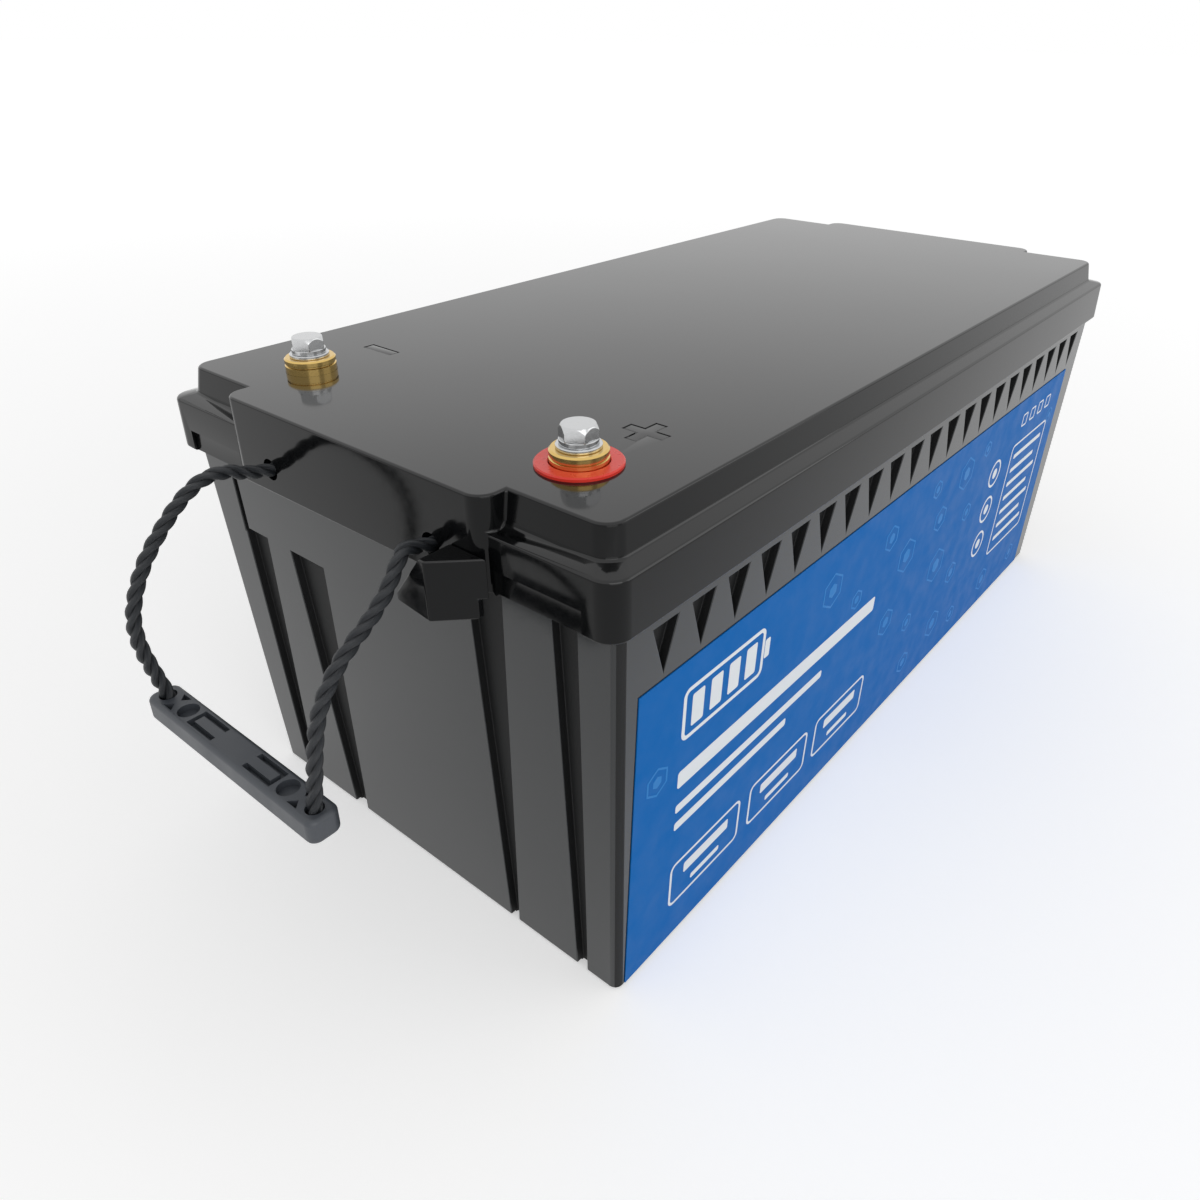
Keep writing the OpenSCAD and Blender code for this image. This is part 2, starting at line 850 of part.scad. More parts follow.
module bms_cable() {
    color("#17181a")
    tube(concat(link_lead_in(link_y), from_terminals(bms_route),
        backwards(post_lead_in(post_y))), cable_d, 12, [1, 0, 0]);
}

module cable_lugs() {
    color("#c5793a") {
        for (y = [positive_y, negative_y])
            translate([terminal_x, y, bush_end_z])
                cylinder(d = lug_d, h = lug_t);
        for (sy = [-1, 1]) {
            translate([cable_end_x, sy * link_y, cable_end_z])
                cylinder(d = lug_d - 4, h = lug_t);
            translate([post_x - post_l / 2, sy * post_y - post_l / 2, post_z])
                cube([post_l, post_l, post_h]);
        }
    }
}

case();
lid();
lid_seal();
label();
corner_guard();
positive_ring();
positive_bush();
negative_bush();
positive_bolt();
positive_spring_washer();
positive_washer();
negative_bolt();
negative_spring_washer();
negative_washer();
front_rope_stubs();
front_anchor_washers();
front_anchor_knots();
rear_rope_stubs();
rear_anchor_washers();
rear_anchor_knots();
front_rope_near();
front_rope_far();
front_grip();
front_grip_knots();
rear_rope_near();
rear_rope_far();
rear_grip();
rear_grip_knots();
cell_1();
cell_2();
cell_3();
cell_4();
cell_5();
cell_6();
cell_7();
cell_8();
cell_separators();
base_pad();
heater_film();
side_pads();
end_pad();
bulkhead();
cell_cover();
series_busbars();
positive_link_bar();
negative_link_bar();
cell_nuts();
bms_heat_plate();
bms_standoffs();
bms_board();
bluetooth_module();
positive_cable();
negative_cable();
bms_cable();
cable_lugs();
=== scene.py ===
# %% [markdown]
# # Deep cycle battery with rope handles
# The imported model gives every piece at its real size. This script loads it as a fixed frame,
# gives the mouldings their soft edges, twists the ropes and sets each finish.

# %% Load the frame
import json
import math

import bpy
import bmesh
from mathutils import Matrix, Vector


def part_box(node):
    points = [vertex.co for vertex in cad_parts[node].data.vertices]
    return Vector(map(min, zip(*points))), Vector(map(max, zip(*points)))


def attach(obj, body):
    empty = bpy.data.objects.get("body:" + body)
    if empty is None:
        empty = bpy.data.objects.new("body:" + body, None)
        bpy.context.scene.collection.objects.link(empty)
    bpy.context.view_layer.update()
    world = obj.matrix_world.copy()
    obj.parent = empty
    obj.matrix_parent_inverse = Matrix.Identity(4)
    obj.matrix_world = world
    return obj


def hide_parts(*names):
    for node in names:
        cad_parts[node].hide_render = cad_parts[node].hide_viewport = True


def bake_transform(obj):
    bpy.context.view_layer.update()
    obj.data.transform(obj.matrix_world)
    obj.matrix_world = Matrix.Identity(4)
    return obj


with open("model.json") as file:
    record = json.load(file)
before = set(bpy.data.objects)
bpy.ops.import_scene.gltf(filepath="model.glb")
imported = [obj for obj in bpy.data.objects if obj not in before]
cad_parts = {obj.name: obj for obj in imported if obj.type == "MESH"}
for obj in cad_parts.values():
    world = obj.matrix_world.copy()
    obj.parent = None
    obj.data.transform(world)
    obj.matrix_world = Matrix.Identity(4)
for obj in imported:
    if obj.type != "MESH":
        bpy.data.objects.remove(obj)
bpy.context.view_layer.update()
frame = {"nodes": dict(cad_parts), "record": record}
nodes = frame["nodes"]

# %% [markdown]
# The whole model is in metres, while a maker thinks in millimetres. A colour is written as the hex
# value that a colour chart shows, and one function turns it to the linear values that the shader adds up.

# %% Units and colour
MM = 0.001


def mm(*values):
    return Vector([v * MM for v in values])


def hex_colour(code):
    parts = [int(code[i:i + 2], 16) / 255 for i in (0, 2, 4)]
    linear = [c / 12.92 if c <= 0.04045 else ((c + 0.055) / 1.055) ** 2.4 for c in parts]
    return (*linear, 1.0)


print("Label blue in linear values:", [round(c, 3) for c in hex_colour("0068b7")])

# %% [markdown]
# The camera stands above the front left corner and looks down on the lid. A product view is framed
# by moving the lens across its sensor, as a shift lens does, because turning the camera would change
# the perspective. Depth of field stays off.

# %% Camera
CAMERA_AT = mm(-448.6, -296.1, 366.4)
CAMERA_AZIMUTH = math.radians(-52.3)
CAMERA_ELEVATION = math.radians(27.5)
CAMERA_ROLL = math.radians(0.8)
FOCAL_LENGTH = 28.5
SENSOR_WIDTH = 36
LENS_SHIFT = (-0.0492, -0.0658)


def camera_matrix():
    back = Vector((
        math.sin(CAMERA_AZIMUTH) * math.cos(CAMERA_ELEVATION),
        -math.cos(CAMERA_AZIMUTH) * math.cos(CAMERA_ELEVATION),
        math.sin(CAMERA_ELEVATION)))
    right = Vector((0, 0, 1)).cross(back).normalized()
    up = back.cross(right)
    turned_right = math.cos(CAMERA_ROLL) * right + math.sin(CAMERA_ROLL) * up
    turned_up = -math.sin(CAMERA_ROLL) * right + math.cos(CAMERA_ROLL) * up
    rotation = Matrix((turned_right, turned_up, back)).transposed()
    return Matrix.Translation(CAMERA_AT) @ rotation.to_4x4()


bpy.ops.object.camera_add()
camera = bpy.context.object
camera.name = "camera"
camera.matrix_world = camera_matrix()
camera.data.lens = FOCAL_LENGTH
camera.data.sensor_width = SENSOR_WIDTH
camera.data.shift_x, camera.data.shift_y = LENS_SHIFT
camera.data.clip_start = 0.01
bpy.context.scene.camera = camera
print("Camera at", [round(c, 3) for c in camera.location])

# %% [markdown]
# Small helpers for the modelling steps. Each piece is made as its own object, so everything is
# deselected before an operator runs, and a finished piece keeps its place in its mesh.

# %% Selecting
def select_only(piece):
    bpy.ops.object.select_all(action="DESELECT")
    piece.select_set(True)
    bpy.context.view_layer.objects.active = piece


def new_piece(name, points, faces):
    mesh = bpy.data.meshes.new(name)
    mesh.from_pydata([tuple(p) for p in points], [], faces)
    mesh.update()
    piece = bpy.data.objects.new(name, mesh)
    bpy.context.scene.collection.objects.link(piece)
    return piece


# %% [markdown]
# Each handle is a black rope of 6 mm, laid from three strands that turn once in about 21 mm.
# The real rope starts at a knot inside the case, leaves through a hole in the lid and ends in a knot
# under the grip. A plain tube with a rope pattern would show a smooth outline, so the three strands
# are swept one by one: their bumps then show along the rope's edge.

# %% Rope routes
ROPE_D = 6.0
LAY_LENGTH = 21.0
STRAND_R = ROPE_D / 2 / (1 + 2 / math.sqrt(3))
STRAND_OFFSET = ROPE_D / 2 - STRAND_R
STRAND_SIDES = 12
ROPE_STEP = 1.2

HINGE_X = 275.0
HINGE_Z = 204.0
ROPE_Z = 201.5
ROPE_Y = 50.5
TAB_X = 264.0
KNOT_X = 243.3
FRONT_KNOT_Z = 117.5
REAR_KNOT_Z = 101.5

FRONT_NEAR = [
    (0, 0), (5, -5.5), (10, -12.5), (17.5, -19.5), (26, -25.5), (33, -31.5),
    (39, -39), (43, -46.5), (46, -57), (48.5, -70), (50.5, -81.5)]
FRONT_FAR = [
    (0, 0), (6, 2.5), (12.5, 3.5), (19, 2.5), (27, -2), (35.5, -9.5), (44, -19),
    (49.5, -27.5), (53.5, -36.5), (55.5, -45), (55.5, -55), (53.5, -67), (50.5, -81.5)]
REAR = [
    (0, 0), (6, 0.5), (11.5, -3), (14.5, -10), (15, -20), (15, -40), (15, -60), (15, -78), (15, -96.5)]


def rope_points(route, side, y, knot_z):
    swinging = [(side * (HINGE_X + out), y, HINGE_Z + up) for out, up in route]
    inside = [(side * KNOT_X, y, ROPE_Z), (side * (TAB_X - 8), y, ROPE_Z), (side * TAB_X, y, ROPE_Z)]
    foot = (swinging[-1][0], y, knot_z)
    return [mm(*p) for p in inside + swinging + [foot]]


print("Each strand is", round(2 * STRAND_R, 2), "mm thick")

# %% [markdown]
# The route has a point every centimetre or so. A Catmull-Rom curve runs through all of them, and
# is cut into even steps, so that the strands turn at a steady rate.

# %% Smooth line through the route
def smooth_line(points, step):
    dense = []
    padded = [2 * points[0] - points[1]] + points + [2 * points[-1] - points[-2]]
    for i in range(1, len(padded) - 2):
        a, b, c, d = padded[i - 1:i + 3]
        for k in range(20):
            t = k / 20
            dense.append(0.5 * (2 * b + (c - a) * t + (2 * a - 5 * b + 4 * c - d) * t * t
                                + (3 * b - a - 3 * c + d) * t ** 3))
    dense.append(points[-1])
    lengths = [0.0]
    for p, q in zip(dense, dense[1:]):
        lengths.append(lengths[-1] + (q - p).length)
    count = max(2, round(lengths[-1] / step))
    line, at = [], 0
    for k in range(count + 1):
        target = lengths[-1] * k / count
        while at < len(lengths) - 2 and lengths[at + 1] < target:
            at += 1
        share = (target - lengths[at]) / max(lengths[at + 1] - lengths[at], 1e-9)
        line.append(dense[at].lerp(dense[at + 1], min(1.0, share)))
    return line, lengths[-1]


try_line, try_length = smooth_line(rope_points(FRONT_FAR, -1, ROPE_Y, FRONT_KNOT_Z), ROPE_STEP * MM)
print("The front far route is", round(try_length / MM), "mm long in", len(try_line), "points")

# %% [markdown]
# The rope lies in one upright plane, so the direction across that plane serves as a steady
# reference and the strands don't twist by themselves. The mesh carries a UV map whose first
# value runs along the rope and whose second runs round the strand: the yarn pattern follows it.

# %% Lay the strands
def lay_rope(name, points):
    line, length = smooth_line(points, ROPE_STEP * MM)
    across = Vector((0, 1, 0))
    verts, faces, uvs = [], [], []
    count = len(line)
    for strand in range(3):
        base = len(verts)
        for i, p in enumerate(line):
            ahead = (line[min(i + 1, count - 1)] - line[max(i - 1, 0)]).normalized()
            up = ahead.cross(across).normalized()
            turn = 2 * math.pi * (length * i / (count - 1) / (LAY_LENGTH * MM) + strand / 3)
            outwards = math.cos(turn) * across + math.sin(turn) * up
            sideways = -math.sin(turn) * across + math.cos(turn) * up
            centre = p + outwards * STRAND_OFFSET * MM
            lean = math.atan2(2 * math.pi * STRAND_OFFSET, LAY_LENGTH)
            along = ahead * math.cos(lean) + sideways * math.sin(lean)
            side = outwards.cross(along).normalized()
            for k in range(STRAND_SIDES):
                a = 2 * math.pi * k / STRAND_SIDES
                verts.append(centre + (math.cos(a) * outwards + math.sin(a) * side) * STRAND_R * MM)
        for i in range(count - 1):
            for k in range(STRAND_SIDES):
                k2 = (k + 1) % STRAND_SIDES
                low, high = base + i * STRAND_SIDES, base + (i + 1) * STRAND_SIDES
                faces.append((low + k, high + k, high + k2, low + k2))
                u0, u1 = length * i / (count - 1), length * (i + 1) / (count - 1)
                v0, v1 = k / STRAND_SIDES, (k + 1) / STRAND_SIDES
                uvs.extend([(u0, v0), (u1, v0), (u1, v1), (u0, v1)])
        for end, order in ((base, 1), (base + (count - 1) * STRAND_SIDES, -1)):
            ring = [end + k for k in range(STRAND_SIDES)][::order]
            faces.append(tuple(ring))
            uvs.extend([(0.0, k / STRAND_SIDES) for k in range(STRAND_SIDES)])
    piece = new_piece(name, verts, faces)
    layer = piece.data.uv_layers.new(name="rope")
    for loop, uv in zip(layer.data, uvs):
        loop.uv = uv
    piece.data.shade_smooth()
    return piece, line, length


print("The strands turn", round(100 / LAY_LENGTH, 1), "times in 100 mm of rope")

# %% [markdown]
# Each rope leg is laid on its own: its start is held by the lid and its end by the grip.

# %% The four rope legs
ropes = []
for end, side, body, knot_z, routes in (
        ("front", -1, "front_handle", FRONT_KNOT_Z, (FRONT_NEAR, FRONT_FAR)),
        ("rear", 1, "rear_handle", REAR_KNOT_Z, (REAR, REAR))):
    for leg, sy, route in (("near", -1, routes[0]), ("far", 1, routes[1])):
        points = rope_points(route, side, sy * ROPE_Y, knot_z)
        rope, line, length = lay_rope(f"{end}_rope_{leg}_laid", points)
        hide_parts(f"{end}_rope_{leg}", f"{end}_rope_stubs")
        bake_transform(rope)
        ropes.append(rope)
        print(rope.name, "is", round(length / MM), "mm long")

# %% [markdown]
# The mouldings come from the frame with sharp edges. A real moulding has a small radius on every
# edge, and on gloss plastic that radius is what catches the light. Each moulding is copied, its
# triangles are merged back to flat faces, and the edges are bevelled by the size of their radius.

# %% Soft edges for a moulding
MERGE_GAP = 0.02 * MM


def copy_of(node, name, reshape=None):
    piece = nodes[node].copy()
    piece.data = nodes[node].data.copy()
    piece.name = name
    piece.parent = None
    piece.matrix_world = Matrix.Identity(4)
    bpy.context.scene.collection.objects.link(piece)
    for key in list(piece.keys()):
        if key.startswith("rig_"):
            del piece[key]
    select_only(piece)
    bpy.ops.object.mode_set(mode="EDIT")
    bpy.ops.mesh.select_all(action="SELECT")
    bpy.ops.mesh.remove_doubles(threshold=MERGE_GAP)
    if reshape:
        reshape(piece)
        bpy.ops.mesh.select_all(action="SELECT")
    bpy.ops.mesh.dissolve_limited(angle_limit=math.radians(0.5))
    bpy.ops.object.mode_set(mode="OBJECT")
    return piece


def soften(piece, radius, segments=2, angle=25, where=None):
    """Bevels the sharp edges for which where(middle of the edge in mm) is true."""
    select_only(piece)
    bpy.ops.object.mode_set(mode="EDIT")
    bpy.ops.mesh.select_mode(type="EDGE")
    bpy.ops.mesh.select_all(action="DESELECT")
    work = bmesh.from_edit_mesh(piece.data)
    chosen = 0
    for edge in work.edges:
        if len(edge.link_faces) != 2 or edge.calc_face_angle(0) < math.radians(angle):
            continue
        middle = (edge.verts[0].co + edge.verts[1].co) / 2 / MM
        if where is None or where(middle):
            edge.select_set(True)
            chosen += 1
    bmesh.update_edit_mesh(piece.data)
    if chosen:
        bpy.ops.mesh.bevel(offset=radius * MM, segments=segments, profile=0.5, clamp_overlap=False)
    bpy.ops.object.mode_set(mode="OBJECT")
    return chosen


print("Corners closer than", round(MERGE_GAP / MM, 3), "mm become one")

# %% [markdown]
# A bevelled edge is shaded smoothly. Weighted normals then keep the large walls flat, so that
# their reflections stay straight and only the radius itself bends the light.

# %% Smooth edges and flat walls
def smooth_edges(piece, angle=35):
    select_only(piece)
    bpy.ops.object.shade_smooth_by_angle(angle=math.radians(angle))
    weighted = piece.modifiers.new("flat_walls", "WEIGHTED_NORMAL")
    weighted.keep_sharp = True
    bpy.ops.object.modifier_apply(modifier=weighted.name)


def finish_piece(piece, *replaced, body="battery", slot=None, angle=35):
    smooth_edges(piece, angle)
    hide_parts(*replaced)
    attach(piece, body)
    print(piece.name, "has", len(piece.data.polygons), "faces")


# %% [markdown]
# The case is a deep tub of black ABS with tapered walls. Its edges are quite crisp, so the radius is
# only half a millimetre. The lip that carries the lid keeps its sharp edge, because the lid hides it.

# %% Case
CASE_TOP = 190.0
case = copy_of("case", "case_shell")
soften(case, 0.5, where=lambda m: m.z < CASE_TOP - 1)
finish_piece(case, "case", slot="case_black")

# %% [markdown]
# The ledge round the raised middle of the lid slopes outwards a little, so that water runs off it.
# Its outer edge is lowered in the copy. Then the lid gets a radius round its top and its skirt.

# %% Lid
lid_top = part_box("lid")[1][2] / MM
LEDGE_Z = 216.0
LEDGE_DROP = 2.2
LEDGE_EDGE_X = 255.5
LEDGE_EDGE_Y = 128.5
LID_RADIUS = 1.2


def slope_ledge(piece):
    bpy.ops.mesh.select_mode(type="VERT")
    bpy.ops.mesh.select_all(action="DESELECT")
    work = bmesh.from_edit_mesh(piece.data)
    for vertex in work.verts:
        at = vertex.co / MM
        outer = abs(at.x) > LEDGE_EDGE_X or abs(at.y) > LEDGE_EDGE_Y
        vertex.select_set(outer and abs(at.z - LEDGE_Z) < 0.1)
    bmesh.update_edit_mesh(piece.data)
    bpy.ops.transform.translate(value=(0, 0, -LEDGE_DROP * MM))


def on_outer_edge(m):
    """True at the skirt and the ledge, where no notch or rope hole would be eaten by the radius."""
    outside = abs(m.x) > 250 or abs(m.y) > 123
    hand_notch = 78 < abs(m.y) < 122 and m.z < 201
    rope_hole = abs(abs(m.y) - ROPE_Y) < ROPE_D and m.z < 210
    return outside and m.z > CASE_TOP - 0.1 and not hand_notch and not rope_hole


lid = copy_of("lid", "lid_shell", slope_ledge)
print("Lid edges with a radius:", soften(lid, LID_RADIUS, segments=3, where=on_outer_edge))

# %% [markdown]
# The polarity marks are engraved outlines. The floor of each mark is inset by the width of the
# groove, and its middle is raised nearly back to the top.

# %% Polarity marks
MARK_GROOVE = 0.9
MARK_DEPTH = 0.8
MARK_X = -183.0
MARK_REACH_X = 12.0
MARK_REACH_Y = 100.0


def on_mark(m):
    near = abs(m.x - MARK_X) < MARK_REACH_X and abs(m.y) < MARK_REACH_Y
    return near and m.z > lid_top - MARK_DEPTH - 0.1


select_only(lid)
bpy.ops.object.mode_set(mode="EDIT")
bpy.ops.mesh.select_mode(type="FACE")
bpy.ops.mesh.select_all(action="DESELECT")
work = bmesh.from_edit_mesh(lid.data)
for face in work.faces:
    centre = face.calc_center_median() / MM
    face.select_set(on_mark(centre) and face.normal.z > 0.9 and centre.z < lid_top - 0.5)
bmesh.update_edit_mesh(lid.data)
bpy.ops.mesh.inset(thickness=MARK_GROOVE * MM)
bpy.ops.transform.translate(value=(0, 0, (MARK_DEPTH - 0.1) * MM))
bpy.ops.object.mode_set(mode="OBJECT")
finish_piece(lid, "lid", slot="lid_black")

# %% [markdown]
# The guard is a small wedge of the same plastic under the near rope hole. It is a piece of its own
# here, and gets a smaller radius than the lid, because its edges are short.

# %% Guard
guard = copy_of("corner_guard", "guard_shell")
soften(guard, 0.8, segments=3)
finish_piece(guard, "corner_guard", slot="lid_black")

# %% [markdown]
# The grips are soft to hold. A bar starts as a cube. Its four corners are rounded, then the edges
# round its top and underside. Each pocket of the moulding is then cut by a block of its own shape:
# a through hole with a wide sink for each rope, and round, U-shaped and triangular pockets.

# %% Rounded bar and cutting blocks
def rounded_bar(low, high, corner, edge):
    bpy.ops.object.select_all(action="DESELECT")
    bpy.ops.mesh.primitive_cube_add(size=1, location=(low + high) / 2 * MM)
    bar = bpy.context.object
    bar.scale = (high - low) * MM
    bpy.ops.object.transform_apply(location=True, rotation=True, scale=True)
    middle = (low.z + high.z) / 2
    soften(bar, corner, segments=8, where=lambda m: abs(m.z - middle) < 1)
    soften(bar, edge, segments=5, where=lambda m: abs(m.z - middle) > 1)
    return bar


def block(outline, low, high):
    piece = new_piece("block", [mm(x, y, low) for x, y in outline], [tuple(range(len(outline)))])
    select_only(piece)
    bpy.ops.object.mode_set(mode="EDIT")
    bpy.ops.mesh.select_all(action="SELECT")
    bpy.ops.mesh.extrude_region_move(TRANSFORM_OT_translate={"value": (0, 0, (high - low) * MM)})
    bpy.ops.mesh.select_all(action="SELECT")
    bpy.ops.mesh.normals_make_consistent(inside=False)
    bpy.ops.object.mode_set(mode="OBJECT")
    return piece


ROUND_STEP = 9


def round_block(x, y, radius, low, high):
    return block([(x + radius * math.cos(math.radians(a)), y + radius * math.sin(math.radians(a)))
                  for a in range(0, 360, ROUND_STEP)], low, high)


def cut_away(piece, blocks):
    for cutter in blocks:
        cut = piece.modifiers.new("cut", "BOOLEAN")
        cut.operation = "DIFFERENCE"
        cut.object = cutter
        select_only(piece)
        bpy.ops.object.modifier_apply(modifier=cut.name)
        bpy.data.objects.remove(cutter)


print("A round cutting block has", 360 // ROUND_STEP, "sides")

# %% [markdown]
# A moulder makes a thick bar hollow with pockets, because a thick wall of plastic sinks as it cools.
# The pockets open upwards. Their sizes are measured from the middle of the bar, across it and along.

# %% Grips
POCKET_DEPTH = 3.2
ROPE_HOLE_R = 3.5
KNOT_SINK_R = 5.3
KNOT_SINK_DEPTH = 5.5
ROUND_POCKET_Y = 34.5
ROUND_POCKET_R = 4.3
U_POCKET = [(-4.2, 11), (-4.2, 28.5), (4.2, 28.5), (4.2, 11), (2, 11), (2, 26.3), (-2, 26.3), (-2, 11)]
CORNER_POCKET = [(4.3, 40), (4.3, 45.8), (1.3, 42.9)]
PAST_FACE = 2.0

grips = []
for end in ("front", "rear"):
    low, high = (Vector(corner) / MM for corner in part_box(f"{end}_grip"))
    x = (low.x + high.x) / 2
    grip = rounded_bar(low, high, 4.0, 2.0)
    grip.name = f"{end}_grip_moulded"
    floor_z, over, under = high.z - POCKET_DEPTH, high.z + PAST_FACE, low.z - PAST_FACE
    blocks = []
    for s in (-1, 1):
        blocks += [
            round_block(x, s * ROPE_Y, ROPE_HOLE_R, under, over),
            round_block(x, s * ROPE_Y, KNOT_SINK_R, under, low.z + KNOT_SINK_DEPTH),
            round_block(x, s * ROUND_POCKET_Y, ROUND_POCKET_R, floor_z, over),
            block([(x + across, s * along) for across, along in U_POCKET], floor_z, over)]
        for side in (-1, 1):
            blocks.append(block([(x + side * across, s * along) for across, along in CORNER_POCKET],
                                floor_z, over))
    cut_away(grip, blocks)
    finish_piece(grip, f"{end}_grip", body=f"{end}_handle", slot="grip_black")
    grips.append(grip)

# %% [markdown]
# The terminals are turned parts. A lathe cuts one profile while the work spins, and the spin
# operator does the same: each part is a half section, turned about its own axis.

# %% Turned parts
TERMINAL_X = -221.0
TERMINALS = {"positive": -84.0, "negative": 78.0}
BUSH_TOP = 234.5


def turned(name, profile, y, closed=True, angle=360.0, steps=64):
    points = [mm(TERMINAL_X + r, y, z) for r, z in profile]
    mesh = bpy.data.meshes.new(name)
    count = len(points)
    edges = [(i, (i + 1) % count) for i in range(count if closed else count - 1)]
    mesh.from_pydata([tuple(p) for p in points], edges, [])
    piece = bpy.data.objects.new(name, mesh)
    bpy.context.scene.collection.objects.link(piece)
    select_only(piece)
    bpy.ops.object.mode_set(mode="EDIT")
    bpy.ops.mesh.select_all(action="SELECT")
    bpy.ops.mesh.spin(steps=steps, angle=math.radians(angle), center=mm(TERMINAL_X, y, 0), axis=(0, 0, 1))
    bpy.ops.mesh.select_all(action="SELECT")
    bpy.ops.mesh.remove_doubles(threshold=0.005 * MM)
    if angle < 360:
        bpy.ops.mesh.select_all(action="DESELECT")
        bpy.ops.mesh.select_non_manifold()
        bpy.ops.mesh.edge_face_add()
        bpy.ops.mesh.select_all(action="SELECT")
    bpy.ops.mesh.normals_make_consistent(inside=False)
    bpy.ops.object.mode_set(mode="OBJECT")
    return piece


print("Terminals, mm from the middle of the case:", TERMINALS)

# %% [markdown]
# Each brass bush carries a fine groove below its rim. A flat washer and a split spring washer lie
# on it. The split washer is spun through less than a full turn, and its two ends are filled.

# %% Bushes and washers
BORE_R = 4.05
BUSH_R = 11.0
GROOVE_R = 10.5
FLANGE_R = 15.0
BORE_FLOOR = 209.0
BUSH_LOW = 206.0
WASHER_T = 1.6
SPLIT_T = 2.0
SPLIT_TURN = 348.0

turned_parts = {}
for pole, y in TERMINALS.items():
    z = BUSH_TOP
    bush = turned(f"{pole}_bush_turned", [
        (0, BORE_FLOOR), (BORE_R, BORE_FLOOR), (BORE_R, z - 0.5), (4.5, z), (BUSH_R - 0.7, z),
        (BUSH_R, z - 0.7), (BUSH_R, 232.2), (GROOVE_R, 231.9), (GROOVE_R, 231.3), (BUSH_R, 231),
        (BUSH_R, 224), (FLANGE_R, 224), (FLANGE_R, 220), (BUSH_R, 220), (BUSH_R, BUSH_LOW), (0, BUSH_LOW)],
        y, closed=False)
    finish_piece(bush, f"{pole}_bush", slot="terminal_brass", angle=20)
    washer = turned(f"{pole}_washer_turned", [
        (4.3, z), (4.3, z + WASHER_T), (8.2, z + WASHER_T), (8.5, z + 1.3), (8.5, z + 0.3), (8.2, z)], y)
    finish_piece(washer, f"{pole}_washer", body=f"{pole}_fastener", slot="fastener_steel", angle=20)
    z += WASHER_T
    split = turned(f"{pole}_spring_washer_turned", [
        (4.4, z + 0.2), (4.4, z + 1.8), (4.6, z + SPLIT_T), (7.1, z + SPLIT_T),
        (7.3, z + 1.8), (7.3, z + 0.2), (7.1, z), (4.6, z)], y, angle=SPLIT_TURN)
    finish_piece(split, f"{pole}_spring_washer", body=f"{pole}_fastener", slot="fastener_steel", angle=20)
    turned_parts[pole] = (bush, washer, split)

# %% [markdown]
# Only the positive terminal has a red ring. It is a moulded washer round the foot of the bush, with
# a small chamfer on its upper edges.

# %% Red ring
ring = turned("positive_ring_moulded", [
    (11.3, 228), (11.3, 229.3), (11.5, 229.5), (16.0, 229.5), (16.5, 229.0), (16.5, 228)],
    TERMINALS["positive"])
finish_piece(ring, "positive_ring", slot="ring_red", angle=20)

# %% [markdown]
# A bolt head starts as a six-sided cylinder. Its top corners are turned off at the factory, so it
# is intersected with a cone, which leaves the curved edges that a real head has. The cone is turned
# by half a facet, so that none of its edges falls on an edge of the hexagon.

# %% Bolt head
HEAD_LOW = 238.1
HEAD_H = 5.3
HEX_FLATS = 13.0
CONE_FOOT_R = 9.5
CONE_TOP_R = 6.25
CONE_SIDES = 96


def bolt_head(pole, y):
    at = mm(TERMINAL_X, y, HEAD_LOW + HEAD_H / 2)
    bpy.ops.object.select_all(action="DESELECT")
    bpy.ops.mesh.primitive_cone_add(vertices=CONE_SIDES, radius1=CONE_FOOT_R * MM,
                                    radius2=CONE_TOP_R * MM, depth=HEAD_H * MM, location=at,
                                    rotation=(0, 0, math.pi / CONE_SIDES))
    cone = bpy.context.object
    bpy.ops.object.select_all(action="DESELECT")
    bpy.ops.mesh.primitive_cylinder_add(vertices=6, radius=HEX_FLATS / math.sqrt(3) * MM,
                                        depth=HEAD_H * MM, location=at,
                                        rotation=(0, 0, math.radians(30)))
    head = bpy.context.object
    head.name = f"{pole}_bolt_turned"
    cut = head.modifiers.new("turned_corners", "BOOLEAN")
    cut.operation = "INTERSECT"
    cut.object = cone
    bpy.ops.object.modifier_apply(modifier=cut.name)
    bpy.data.objects.remove(cone)
    select_only(head)
    bpy.ops.object.transform_apply(location=True, rotation=True, scale=True)
    return head


print("Corners of a", HEX_FLATS, "mm head are", round(HEX_FLATS * 2 / math.sqrt(3), 1), "mm apart")

# %% [markdown]
# The thread runs as a helix. Each point of the shank moves inwards by how far its height and its
# turn round the axis are from the nearest crest. The start is chamfered, and the neck is plain.

# %% Threaded shank
SHANK_R = 4.0
SHANK_L = 25.0
SHANK_CUTS = 99
THREAD_PITCH = 1.25
THREAD_DEPTH = 0.62
START_CHAMFER = 0.9
NECK_L = 1.5
NECK_DEPTH = 0.3


